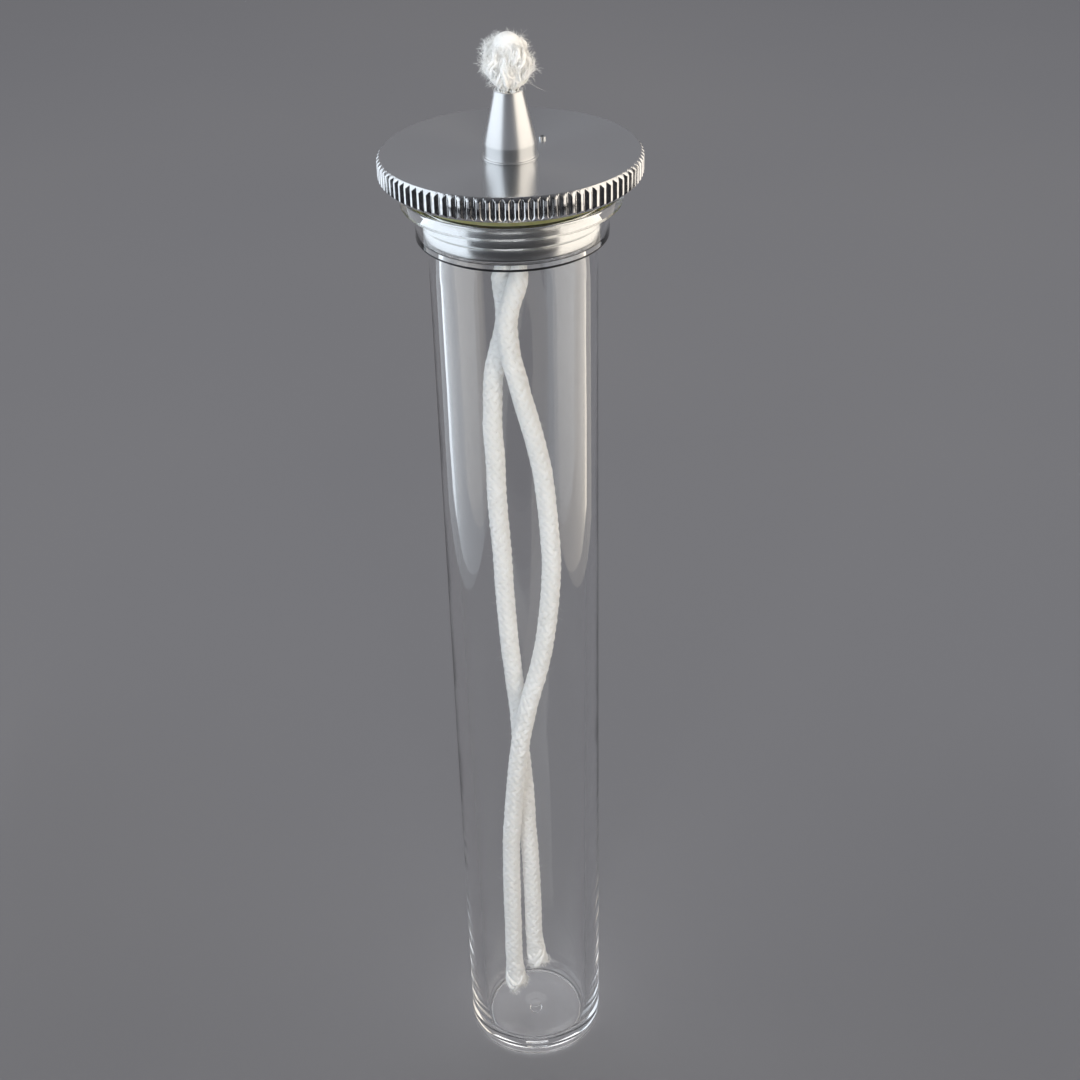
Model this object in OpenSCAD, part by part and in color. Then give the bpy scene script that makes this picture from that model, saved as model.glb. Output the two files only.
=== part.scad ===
// Alcohol burner: a clear moulded tube that holds the fuel, closed by a turned
// cap that carries a wick nozzle, with two braided wick strands hanging inside.
// Millimetres. The tube stands on z = 0 and its axis is the Z axis.

/* [Tube] */
// Height of the tube from its foot to its rim
tube_h = 200; // [196:1:230]
// Outside diameter of the tube just under the collar
tube_top_d = 30.1; // [29.5:0.1:31]
// Outside diameter of the tube at its foot, smaller because the wall is drafted
tube_foot_d = 29; // [28:0.1:30]
// Diameter of the collar that is stepped out under the rim
collar_d = 34.2; // [33:0.1:36]
// Height of the collar below the rim flange
collar_h = 6.6; // [5:0.1:8]
// Diameter of the rim flange
flange_d = 39; // [38:0.1:42]
// Thickness of the rim flange
flange_t = 2.3; // [1.6:0.1:3]
// Diameter of the socket inside the collar, which the cap's plug fits
socket_d = 31.4; // [31:0.1:31.8]
// Bore just under the socket
bore_d = 26; // [25.6:0.1:27]
// Bore just above the floor, narrower because the core is drafted
bore_floor_d = 22.6; // [20:0.1:24]
// Thickness of the floor
floor_t = 3.2; // [2:0.1:5]

/* [Cap] */
// Diameter over the knurl
cap_d = 46; // [44:0.1:50]
// Thickness of the knurled disc
disc_t = 4.3; // [3.5:0.1:6]
// Number of flutes in the straight knurl
flute_count = 90; // [60:2:110]
// Depth of each flute
flute_depth = 0.6; // [0.3:0.05:0.8]
// Depth of the shallow dish turned into the top face
dish_depth = 1.1; // [0.3:0.1:1.5]
// Length of the plug below the disc
plug_h = 10; // [8:0.1:10.1]
// Diameter of the recess in the end of the plug
recess_d = 24; // [20.5:0.1:26]
// Depth of the recess in the end of the plug
recess_h = 5.1; // [4.5:0.1:6]
// Diameter of the vent hole
vent_d = 0.7; // [0.5:0.1:1.2]

/* [Gasket] */
// Outside diameter of the flat sealing ring
gasket_d = 37.2; // [35:0.1:38]
// Thickness of the flat sealing ring
gasket_t = 2.3; // [1.5:0.1:3]

/* [Nozzle] */
// Height of the nozzle above its seat
nozzle_h = 11.7; // [9:0.1:15]
// Diameter of the nozzle at its tip
tip_d = 5; // [4.8:0.1:6]
// Diameter of the nozzle's cylindrical foot
foot_d = 9.1; // [8:0.1:9.6]
// Diameter of the passage for the wick
wick_bore_d = 4; // [3:0.1:4.2]
// Diameter of the hollow shank below the seat
shank_d = 6; // [5.6:0.1:6.4]
// Size of the nut across its flats
nut_af = 10; // [9:0.5:11]

/* [Wick] */
// Diameter of each hanging strand
strand_d = 4; // [3:0.1:4]
// Widest diameter of the frayed tuft
head_d = 9.3; // [7:0.1:11]
// Height of the frayed tuft above the nozzle
head_h = 9.6; // [7:0.1:12]
// How far the wick can be fed up through the nozzle
feed_travel = 5; // [2:0.5:5]

/* [Hidden] */
$fn = 160;

// Running clearances on the radius
plug_gap = 0.1;
gasket_gap = 0.3;
shank_gap = 0.05;
neck_gap = 0.05;
// Gap under the tuft, so that it clears the tip it rides over
head_gap = 0.1;

// Tube details
foot_edge_r = 1.2;
foot_recess_r = 11.4;
foot_recess_h = 0.8;
foot_recess_slope = 0.6;
pip_r = 0.9;
pip_h = 0.45;
floor_fillet_r = 1.8;
ledge_z = tube_h - flange_t - collar_h;
socket_floor_z = ledge_z + 1;
edge_break = 0.3;

// Cap heights, from the rim of the tube up
cap_z = tube_h + gasket_t;
cap_top_z = cap_z + disc_t;
seat_z = cap_top_z - dish_depth;
plug_end_z = cap_z - plug_h;
recess_top_z = plug_end_z + recess_h;
plug_r = socket_d / 2 - plug_gap;
rim_chamfer = 0.7;
rim_land = 0.5;
seat_r = foot_d / 2 + 0.9;
blank_extra = 0.2;
crest_share = 0.16;

// The plug has a fine line turned into it above a slight lead-in
line_z = plug_end_z + 2.6;
line_w = 0.35;
line_depth = 0.25;
lead_in = 0.2;
plug_chamfer = 0.4;

// The vent stands in a small raised lip behind the nozzle
vent_pos = [5.7, 7.4];
vent_lip_r = 0.65;
vent_lip_h = 0.45;

// Nozzle and nut
lip_r = foot_d / 2 + 0.3;
lip_h = 0.4;
foot_h = 2.6;
nut_h = 3.2;
shank_beyond_nut = 0.6;
nut_bevel = 0.4;
nut_bevel_h = 0.3;
shank_end_z = recess_top_z - nut_h - shank_beyond_nut;
shank_chamfer = 0.4;
bore_flare = 0.4;
tip_edge = 0.1;

// Wick levels
neck_z = shank_end_z - feed_travel;
tip_z = seat_z + nozzle_h;
head_z = tip_z + head_gap;
head_foot_r = 2.4;

// Where the strands run, from the neck down to their cut ends, for a neck that ends
// at route_top_z. The long strand passes in front of the short one twice.
route_top_z = 188.6;
long_route = [
    [1.7, 0, 188.6], [1.3, -1, 186], [0.2, -1.8, 182], [-0.9, -2.1, 178.5],
    [-1.5, -2.2, 175], [-1.3, -2.2, 171.5], [-0.9, -2.1, 168], [0, -2, 164],
    [0.8, -1.8, 160], [2, -1.5, 155], [3.1, -1.3, 150], [4.2, -1.1, 144],
    [4.8, -1, 138], [5.3, -0.9, 131], [5.6, -0.9, 124], [5.3, -0.9, 117],
    [4.6, -1, 110], [3.6, -1.2, 103], [2.2, -1.5, 97], [0.6, -1.9, 91],
    [-0.7, -2.2, 85], [-1.8, -2.3, 79], [-2.5, -2.2, 73], [-3.1, -1.9, 67],
    [-3.7, -1.5, 60], [-4.2, -1.2, 53], [-4.4, -1, 45], [-4.5, -0.9, 37],
    [-4.5, -0.8, 29], [-4.6, -0.8, 21], [-4.4, -0.8, 14], [-4.1, -0.8, 9.8]
];
short_route = [
    [-2.4, 0, 188.6], [-2.4, 0.9, 186], [-2.2, 1.8, 182], [-1.9, 2.2, 178],
    [-1.8, 2.3, 174], [-2.5, 2.2, 170.5], [-3.5, 2, 167], [-4.4, 1.7, 163],
    [-4.7, 1.4, 158], [-4.9, 1.1, 152], [-4.6, 0.9, 145], [-4.6, 0.8, 139],
    [-4.4, 0.8, 133], [-4, 0.8, 126], [-3.8, 0.9, 118], [-3.5, 1.1, 110],
    [-3.1, 1.4, 102], [-2.5, 1.8, 94], [-1.9, 2.1, 87], [-1.6, 2.2, 80],
    [-1.6, 2.2, 75], [-1.2, 2, 69], [-0.8, 1.7, 62], [-0.7, 1.4, 55],
    [-0.3, 1.1, 48], [-0.1, 0.9, 40], [0, 0.8, 32], [0, 0.8, 25],
    [0.4, 0.8, 19], [0.8, 0.8, 14.8]
];
strand_sides = 10;

// Points of an arc in a turned profile, as [radius, height]
function arc(centre, r, from, to, steps = 8) = [
    for (i = [0 : steps]) let (a = from + (to - from) * i / steps)
        [centre[0] + r * cos(a), centre[1] + r * sin(a)]
];

function polar(r, a) = [r * cos(a), r * sin(a)];

function unit(v) = v / norm(v);

// Direction of a route at point i, straight down at both ends
function heading(route, i) =
    i == 0 || i == len(route) - 1 ? [0, 0, -1] : unit(route[i + 1] - route[i - 1]);

// One ring of a swept tube, square to the route
function ring(route, i, r, sides) = let (
    along = heading(route, i),
    across = unit(cross([0, 1, 0], along)),
    side = cross(along, across)
) [for (k = [0 : sides - 1]) let (a = 360 * k / sides) route[i] + r * (across * cos(a) + side * sin(a))];

// A solid tube swept along a route
module swept_tube(route, r, sides) {
    last = len(route) - 1;
    points = [for (i = [0 : last]) each ring(route, i, r, sides)];
    walls = [
        for (i = [0 : last - 1], k = [0 : sides - 1]) let (n = (k + 1) % sides)
            [i * sides + k, i * sides + n, (i + 1) * sides + n, (i + 1) * sides + k]
    ];
    top = [for (k = [sides - 1 : -1 : 0]) k];
    bottom = [for (k = [0 : sides - 1]) last * sides + k];
    polyhedron(points, concat([top], walls, [bottom]));
}

module turned(profile) {
    rotate_extrude() polygon(profile);
}

// Clear tube: foot ring, drafted wall, ledge, belled collar and rim flange
module tube() {
    foot_r = tube_foot_d / 2;
    socket_r = socket_d / 2;
    bore_r = bore_d / 2;
    floor_r = bore_floor_d / 2;
    outside = concat(
        [[0, foot_recess_h], [foot_recess_r, foot_recess_h], [foot_recess_r + foot_recess_slope, 0]],
        arc([foot_r - foot_edge_r, foot_edge_r], foot_edge_r, -90, 0),
        [
            [tube_top_d / 2, ledge_z],
            [collar_d / 2 - edge_break, ledge_z],
            [collar_d / 2, ledge_z + edge_break],
            [collar_d / 2, tube_h - flange_t],
            [flange_d / 2 - edge_break, tube_h - flange_t],
            [flange_d / 2, tube_h - flange_t + edge_break],
            [flange_d / 2, tube_h - edge_break],
            [flange_d / 2 - edge_break, tube_h]
        ]
    );
    inside = concat(
        [[socket_r, tube_h], [socket_r, socket_floor_z], [bore_r, socket_floor_z]],
        arc([floor_r - floor_fillet_r, floor_t + floor_fillet_r], floor_fillet_r, 0, -90),
        [[0, floor_t]]
    );
    color("aliceblue", 0.35) {
        turned(concat(outside, inside));
        // Gate pip in the middle of the foot recess
        translate([0, 0, foot_recess_h - pip_h]) cylinder(r = pip_r, h = 2 * pip_h);
    }
}

// Flat sealing ring that stays on the plug
module gasket() {
    color("darkkhaki") translate([0, 0, tube_h]) difference() {
        cylinder(d = gasket_d, h = gasket_t);
        translate([0, 0, -1]) cylinder(r = plug_r + gasket_gap, h = gasket_t + 2);
    }
}

// Outline of the knurled rim seen from above: sharp flutes between narrow crests
module knurl_outline() {
    crest_r = cap_d / 2;
    step = 360 / flute_count;
    polygon([
        for (i = [0 : flute_count - 1]) each [
            polar(crest_r, (i - crest_share) * step),
            polar(crest_r, (i + crest_share) * step),
            polar(crest_r - flute_depth, (i + 0.5) * step)
        ]
    ]);
}

// Knurled disc and plug turned from one piece, with a dished top face
module cap() {
    blank_r = cap_d / 2 + blank_extra;
    edge_r = cap_d / 2 - rim_chamfer;
    dish_r = edge_r - rim_land;
    vent_base_z = seat_z + dish_depth * (norm(vent_pos) - seat_r) / (dish_r - seat_r);
    profile = [
        [0, recess_top_z],
        [recess_d / 2, recess_top_z],
        [recess_d / 2, plug_end_z],
        [plug_r - lead_in - plug_chamfer, plug_end_z],
        [plug_r - lead_in, plug_end_z + plug_chamfer],
        [plug_r, line_z - line_w / 2],
        [plug_r - line_depth, line_z],
        [plug_r, line_z + line_w / 2],
        [plug_r, cap_z],
        [edge_r, cap_z],
        [blank_r, cap_z + rim_chamfer + blank_extra],
        [blank_r, cap_top_z - rim_chamfer - blank_extra],
        [edge_r, cap_top_z],
        [dish_r, cap_top_z],
        [seat_r, seat_z],
        [0, seat_z]
    ];
    color("silver") difference() {
        union() {
            intersection() {
                turned(profile);
                union() {
                    translate([0, 0, cap_z - 1]) linear_extrude(disc_t + 2) knurl_outline();
                    translate([0, 0, plug_end_z - 1]) cylinder(r = plug_r + 1, h = plug_h + 1);
                }
            }
            translate([vent_pos[0], vent_pos[1], seat_z - 1])
                cylinder(r = vent_lip_r, h = vent_base_z + vent_lip_h - seat_z + 1, $fn = 32);
        }
        translate([0, 0, recess_top_z - 1]) cylinder(r = shank_d / 2 + shank_gap, h = plug_h + disc_t);
        translate([vent_pos[0], vent_pos[1], recess_top_z - 1])
            cylinder(d = vent_d, h = plug_h + disc_t, $fn = 32);
    }
}

// Turned nozzle: hollow shank, lipped foot and cone
module nozzle() {
    bore_r = wick_bore_d / 2;
    shank_r = shank_d / 2;
    foot_r = foot_d / 2;
    tip_r = tip_d / 2;
    profile = [
        [bore_r + bore_flare, shank_end_z],
        [shank_r - shank_chamfer, shank_end_z],
        [shank_r, shank_end_z + shank_chamfer],
        [shank_r, seat_z],
        [lip_r, seat_z],
        [lip_r, seat_z + lip_h / 2],
        [foot_r, seat_z + lip_h],
        [foot_r, seat_z + foot_h],
        [tip_r, tip_z - tip_edge],
        [tip_r - tip_edge, tip_z],
        [bore_r, tip_z],
        [bore_r, shank_end_z + bore_flare]
    ];
    color("gainsboro") turned(profile);
}

// Thin hexagon nut inside the plug's recess
module nozzle_nut() {
    corner_r = nut_af / 2 / cos(30);
    color("lightsteelblue") translate([0, 0, recess_top_z - nut_h]) difference() {
        intersection() {
            cylinder(r = corner_r, h = nut_h, $fn = 6);
            turned([
                [0, 0], [nut_af / 2, 0], [corner_r + nut_bevel, nut_bevel_h + nut_bevel],
                [corner_r + nut_bevel, nut_h], [0, nut_h]
            ]);
        }
        translate([0, 0, -1]) cylinder(r = shank_d / 2 + shank_gap, h = nut_h + 2);
    }
}

// Frayed tuft above the nozzle, as its plain outer shape
module wick_head() {
    wide_r = head_d / 2;
    wide_z = head_z + head_h - wide_r;
    color("whitesmoke") turned(concat(
        [[0, head_z], [head_foot_r, head_z]],
        arc([0, wide_z], wide_r, -35, 89, 14),
        [[0, wide_z + wide_r]]
    ));
}

// Both strands squeezed together on their way through the nozzle
module wick_neck() {
    color("ivory") translate([0, 0, neck_z])
        cylinder(r = wick_bore_d / 2 - neck_gap, h = head_z - neck_z);
}

// Longer hanging strand, whose end is nearer the floor
module wick_strand_long() {
    color("white") translate([0, 0, neck_z - route_top_z])
        swept_tube(long_route, strand_d / 2, strand_sides);
}

// Shorter hanging strand
module wick_strand_short() {
    color("snow") translate([0, 0, neck_z - route_top_z])
        swept_tube(short_route, strand_d / 2, strand_sides);
}

tube();
gasket();
cap();
nozzle();
nozzle_nut();
wick_head();
wick_neck();
wick_strand_long();
wick_strand_short();
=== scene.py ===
"""Looks of the alcohol burner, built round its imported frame.

Shapes are worked out in millimetres, as in the CAD model, and put_mesh() turns
them into metres. Every place comes from the frame's own boxes.
"""

import math

import bpy
import numpy as np
from mathutils import Matrix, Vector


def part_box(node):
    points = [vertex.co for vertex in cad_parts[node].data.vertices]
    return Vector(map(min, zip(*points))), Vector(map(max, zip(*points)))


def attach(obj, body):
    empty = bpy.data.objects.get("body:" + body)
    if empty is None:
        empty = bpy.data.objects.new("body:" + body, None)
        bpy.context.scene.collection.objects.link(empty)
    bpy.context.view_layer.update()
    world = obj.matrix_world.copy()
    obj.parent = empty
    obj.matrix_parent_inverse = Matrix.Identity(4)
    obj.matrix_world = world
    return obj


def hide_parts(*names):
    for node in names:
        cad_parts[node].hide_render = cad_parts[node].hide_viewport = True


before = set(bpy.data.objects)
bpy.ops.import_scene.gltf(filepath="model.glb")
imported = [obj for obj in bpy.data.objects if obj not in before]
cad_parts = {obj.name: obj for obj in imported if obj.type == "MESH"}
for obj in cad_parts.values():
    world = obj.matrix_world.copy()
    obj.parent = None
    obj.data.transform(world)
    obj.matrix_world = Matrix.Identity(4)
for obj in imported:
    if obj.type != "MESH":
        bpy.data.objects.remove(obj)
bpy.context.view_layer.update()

MM = 0.001


def box_mm(node):
    """Lowest and highest corner of a CAD node, in millimetres."""
    low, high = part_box(node)
    return np.array(low) / MM, np.array(high) / MM


TUBE_LOW, TUBE_HIGH = box_mm("tube")
GASKET_LOW, GASKET_HIGH = box_mm("gasket")
CAP_LOW, CAP_HIGH = box_mm("cap")
NOZZLE_LOW, NOZZLE_HIGH = box_mm("nozzle")
NUT_LOW, NUT_HIGH = box_mm("nozzle_nut")
HEAD_LOW, HEAD_HIGH = box_mm("wick_head")
NECK_LOW, NECK_HIGH = box_mm("wick_neck")

# ---------------------------------------------------------------- camera

LENS_MM = 61.01
SENSOR_MM = 36.0
EYE_BACK = 0.3017
EYE_HEIGHT = 0.3160
PITCH_DOWN = math.radians(31.996)
YAW_RIGHT = math.radians(0.665)
ROLL = math.radians(-1.387)


def make_camera():
    """The camera stands above the object's front and looks down on it."""
    data = bpy.data.cameras.new("camera")
    data.lens = LENS_MM
    data.sensor_width = SENSOR_MM
    data.clip_start = 0.01
    camera = bpy.data.objects.new("camera", data)
    bpy.context.scene.collection.objects.link(camera)
    turn = Matrix.Rotation(-YAW_RIGHT, 4, "Z")
    turn = turn @ Matrix.Rotation(math.pi / 2 - PITCH_DOWN, 4, "X")
    turn = turn @ Matrix.Rotation(ROLL, 4, "Z")
    camera.matrix_world = Matrix.Translation((0, -EYE_BACK, EYE_HEIGHT)) @ turn
    bpy.context.scene.camera = camera


make_camera()

# ---------------------------------------------------------------- mesh helpers


def plain_object(name, points, faces):
    """A new mesh object in the scene, from points in metres."""
    mesh = bpy.data.meshes.new(name)
    mesh.from_pydata(points, [], faces)
    piece = bpy.data.objects.new(name, mesh)
    bpy.context.scene.collection.objects.link(piece)
    return piece


def put_mesh(name, points, faces, body, sharp_deg=40, uvs=None):
    """A smooth mesh piece from points in millimetres, riding on a body."""
    piece = plain_object(name, (np.asarray(points) * MM).tolist(), faces)
    mesh = piece.data
    mesh.update()
    mesh.shade_smooth()
    if sharp_deg:
        mesh.set_sharp_from_angle(angle=math.radians(sharp_deg))
    if uvs is not None:
        layer = mesh.uv_layers.new(name="along")
        corners = np.zeros(len(mesh.loops), np.int32)
        mesh.loops.foreach_get("vertex_index", corners)
        layer.data.foreach_set("uv", np.asarray(uvs, np.float32)[corners].ravel())
    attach(piece, body)
    return piece


def softened(profile, cut, steps=3, closed=False):
    """The profile with each corner rounded, cut millimetres before and after it."""
    corners = [np.array(p, float) for p in profile]
    count = len(corners)
    out = []
    for i, here in enumerate(corners):
        if not closed and i in (0, count - 1):
            out.append(here)
            continue
        back = corners[i - 1] - here
        ahead = corners[(i + 1) % count] - here
        back_len = np.linalg.norm(back)
        ahead_len = np.linalg.norm(ahead)
        if np.dot(back, ahead) < -0.995 * back_len * ahead_len:
            out.append(here)
            continue
        reach = min(cut, 0.4 * back_len, 0.4 * ahead_len)
        start = here + back / back_len * reach
        end = here + ahead / ahead_len * reach
        for k in range(steps + 1):
            t = k / steps
            out.append((1 - t) ** 2 * start + 2 * t * (1 - t) * here + t * t * end)
    return out


def arc(centre, radius, start_deg, end_deg, steps=8):
    """Points of an arc in a turned profile, as (radius, height)."""
    angles = np.radians(np.linspace(start_deg, end_deg, steps + 1))
    return [(centre[0] + radius * math.cos(a), centre[1] + radius * math.sin(a)) for a in angles]


def filled(profile, longest):
    """The profile with extra points on its long straight runs."""
    out = [np.array(profile[0], float)]
    for point in profile[1:]:
        step = np.array(point, float) - out[-1]
        parts = max(1, math.ceil(np.linalg.norm(step) / longest))
        start = out[-1]
        out += [start + step * (k + 1) / parts for k in range(parts)]
    return out


RING_SHARP_DEG = 28


def turned(profile, angle):
    """The profile's (radius, height) points, as points in space at that angle."""
    return [(r * math.cos(angle), r * math.sin(angle), z) for r, z in profile]


def wall_faces(columns, rows, closed):
    """Quads between neighbouring columns of points, all the way round. On a closed
    profile the last row joins the first."""
    faces = []
    for c in range(columns):
        here, there = c * rows, (c + 1) % columns * rows
        for r in range(rows if closed else rows - 1):
            n = (r + 1) % rows
            faces.append((here + r, there + r, there + n, here + n))
    return faces


def spun(name, profile, columns, body, closed, sharp_deg=40):
    """A piece turned round the Z axis. An open profile starts and ends on the axis."""
    angles = np.linspace(0, 2 * math.pi, columns, endpoint=False)
    grid = np.array([turned(profile, a) for a in angles])
    rows = grid.shape[1]
    first, last = (0, rows) if closed else (1, rows - 1)
    points = grid[:, first:last].reshape(-1, 3)
    tall = last - first
    faces = wall_faces(columns, tall, closed)
    if not closed:
        points = np.vstack([points, grid[0, 0], grid[0, -1]])
        bottom, top = len(points) - 2, len(points) - 1
        for c in range(columns):
            here, there = c * tall, (c + 1) % columns * tall
            faces.append((bottom, there, here))
            faces.append((top, here + tall - 1, there + tall - 1))
    return put_mesh(name, points, faces, body, sharp_deg)


def spun_at(name, profile_at, angles, body):
    """A closed ring whose columns stand at the angles given, and whose profile may
    change with the angle."""
    grid = np.array([turned(profile_at(a), a) for a in angles])
    faces = wall_faces(*grid.shape[:2], True)
    return put_mesh(name, grid.reshape(-1, 3), faces, body, RING_SHARP_DEG)


def smooth_noise(rng, count, knots):
    """A smooth random line of that many values, from -1 to 1."""
    levels = rng.uniform(-1, 1, knots + 3)
    t = np.linspace(0, knots, count)
    i = np.minimum(t.astype(int), knots - 1)
    f = t - i
    a, b, c, d = (levels[i + k] for k in range(4))
    blend = (1 - f) ** 3 * a
    blend = blend + (3 * f**3 - 6 * f**2 + 4) * b
    blend = blend + (-3 * f**3 + 3 * f**2 + 3 * f + 1) * c + f**3 * d
    return blend / 6


def running_length(line):
    """How far along the line each of its points is."""
    steps = np.linalg.norm(np.diff(line, axis=0), axis=1)
    return np.concatenate([[0], np.cumsum(steps)])


class Tubes:
    """Gathers many swept tubes into one mesh, with a UV along each of them."""

    def __init__(self):
        self.points, self.faces, self.uvs, self.kinds = [], [], [], []
        self.count = 0

    def add(self, line, radii, sides, kind=0, flat=1.0, across=None, shift=0.0):
        """Sweeps a tube of that radius at each point of the line. flat squeezes it
        across the direction that across gives."""
        line = np.asarray(line, float)
        rings = len(line)
        radii = np.broadcast_to(np.asarray(radii, float), (rings,))
        along = np.gradient(line, axis=0)
        along /= np.maximum(np.linalg.norm(along, axis=1), 1e-9)[:, None]
        if across is None:
            across = steady_side(along)
        side = np.cross(along, across)
        side /= np.maximum(np.linalg.norm(side, axis=1), 1e-9)[:, None]
        across = np.cross(side, along)
        turns = np.linspace(0, 2 * math.pi, sides, endpoint=False)
        ring = flat * np.cos(turns)[None, :, None] * across[:, None]
        ring = ring + np.sin(turns)[None, :, None] * side[:, None]
        body = line[:, None] + radii[:, None, None] * ring
        length = running_length(line)
        uv = np.stack(np.broadcast_arrays(turns[None] / 2 / math.pi, shift + length[:, None]), -1)
        start = self.count
        self.points += [body.reshape(-1, 3), line[:1], line[-1:]]
        ends = [(0.5, shift), (0.5, shift + length[-1])]
        self.uvs += [uv.reshape(-1, 2), np.array(ends)]
        first, last = start + rings * sides, start + rings * sides + 1
        i = np.arange(rings - 1)[:, None] * sides + start
        k = np.arange(sides)[None]
        n = (k + 1) % sides
        walls = np.stack(np.broadcast_arrays(i + k, i + n, i + sides + n, i + sides + k), -1)
        faces = walls.reshape(-1, 4).tolist()
        top = start + (rings - 1) * sides
        for a in range(sides):
            b = (a + 1) % sides
            faces.append((first, start + b, start + a))
            faces.append((last, top + a, top + b))
        self.faces += faces
        self.kinds += [kind] * len(faces)
        self.count += rings * sides + 2

    def build(self, name, body, warp=None):
        points = np.vstack(self.points)
        if warp is not None:
            points = warp(points)
        piece = put_mesh(name, points, self.faces, body, 0, np.vstack(self.uvs))
        piece.data.polygons.foreach_set("material_index", self.kinds)
        return piece


def steady_side(along):
    """A direction square to a line at each of its points, carried along with no twist."""
    start = np.cross(along[0], [0, 1, 0])
    if np.linalg.norm(start) < 0.1:
        start = np.cross(along[0], [1, 0, 0])
    sides = [start / np.linalg.norm(start)]
    for direction in along[1:]:
        side = sides[-1] - direction * np.dot(sides[-1], direction)
        sides.append(side / max(np.linalg.norm(side), 1e-9))
    return np.array(sides)


def smoothstep(x, low, high):
    """0 up to low, 1 from high on, and a smooth rise between them."""
    t = np.clip((np.asarray(x, float) - low) / (high - low), 0, 1)
    return t * t * (3 - 2 * t)


# ---------------------------------------------------------------- cords

STRAND_R = 2.0
# Where the strands run, in metres, from the neck down to their cut ends
LONG_ROUTE = [
    (0.0017, 0, 0.1886), (0.0013, -0.001, 0.186), (0.0002, -0.0018, 0.182),
    (-0.0009, -0.0021, 0.1785), (-0.0015, -0.0022, 0.175), (-0.0013, -0.0022, 0.1715),
    (-0.0009, -0.0021, 0.168), (0, -0.002, 0.164), (0.0008, -0.0018, 0.16),
    (0.002, -0.0015, 0.155), (0.0031, -0.0013, 0.15), (0.0042, -0.0011, 0.144),
    (0.0048, -0.001, 0.138), (0.0053, -0.0009, 0.131), (0.0056, -0.0009, 0.124),
    (0.0053, -0.0009, 0.117), (0.0046, -0.001, 0.11), (0.0036, -0.0012, 0.103),
    (0.0022, -0.0015, 0.097), (0.0006, -0.0019, 0.091), (-0.0007, -0.0022, 0.085),
    (-0.0018, -0.0023, 0.079), (-0.0025, -0.0022, 0.073), (-0.0031, -0.0019, 0.067),
    (-0.0037, -0.0015, 0.06), (-0.0042, -0.0012, 0.053), (-0.0044, -0.001, 0.045),
    (-0.0045, -0.0009, 0.037), (-0.0045, -0.0008, 0.029), (-0.0046, -0.0008, 0.021),
    (-0.0044, -0.0008, 0.014), (-0.0041, -0.0008, 0.0098),
]
SHORT_ROUTE = [
    (-0.0024, 0, 0.1886), (-0.0024, 0.0009, 0.186), (-0.0022, 0.0018, 0.182),
    (-0.0019, 0.0022, 0.178), (-0.0018, 0.0023, 0.174), (-0.0025, 0.0022, 0.1705),
    (-0.0035, 0.002, 0.167), (-0.0044, 0.0017, 0.163), (-0.0047, 0.0014, 0.158),
    (-0.0049, 0.0011, 0.152), (-0.0046, 0.0009, 0.145), (-0.0046, 0.0008, 0.139),
    (-0.0044, 0.0008, 0.133), (-0.004, 0.0008, 0.126), (-0.0038, 0.0009, 0.118),
    (-0.0035, 0.0011, 0.11), (-0.0031, 0.0014, 0.102), (-0.0025, 0.0018, 0.094),
    (-0.0019, 0.0021, 0.087), (-0.0016, 0.0022, 0.08), (-0.0016, 0.0022, 0.075),
    (-0.0012, 0.002, 0.069), (-0.0008, 0.0017, 0.062), (-0.0007, 0.0014, 0.055),
    (-0.0003, 0.0011, 0.048), (-0.0001, 0.0009, 0.04), (0, 0.0008, 0.032),
    (0, 0.0008, 0.025), (0.0004, 0.0008, 0.019), (0.0008, 0.0008, 0.0148),
]

YARNS_EACH_WAY = 6
BRAID_PITCH = 12.0
BRAID_R = 1.4
BRAID_WAVE = 0.08
YARN_R = 0.72
YARN_FLAT = 0.66
RING_STEP = 0.45
YARN_UNEVEN = 0.07
WANDER = 0.1
CORE_R = BRAID_R * 1.22
CORE_FLARE = BRAID_R * 0.35
# The core ends this many rings before the yarns do
CORE_SHORT = 4
FRAY_LENGTH = 9.0
FRAY_OUT = (0.1, 0.75)
FRAY_TURN = 0.3
CUT_UNEVEN = 1.6
CUT_TAPER = 1.2
CUT_FIBRES = 60


def smooth_line(route, step):
    """A smooth line through the route's points, with points step apart."""
    p = np.asarray(route, float)
    p = np.vstack([2 * p[0] - p[1], p, 2 * p[-1] - p[-2]])
    t = np.linspace(0, 1, 12, endpoint=False)[:, None]
    runs = []
    for a, b, c, d in zip(p[:-3], p[1:-2], p[2:-1], p[3:]):
        run = 2 * b + (c - a) * t + (2 * a - 5 * b + 4 * c - d) * t**2
        runs.append((run + (3 * b - a - 3 * c + d) * t**3) / 2)
    line = np.vstack(runs + [p[-2:-1]])
    along = running_length(line)
    at = np.linspace(0, along[-1], math.ceil(along[-1] / step) + 1)
    return np.stack([np.interp(at, along, line[:, k]) for k in range(3)], axis=1)


def line_frame(line):
    """Two directions square to the line at each point, and the length so far."""
    along = np.gradient(line, axis=0)
    along /= np.linalg.norm(along, axis=1)[:, None]
    side = steady_side(along)
    length = running_length(line)
    return along, side, np.cross(along, side), length


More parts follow.
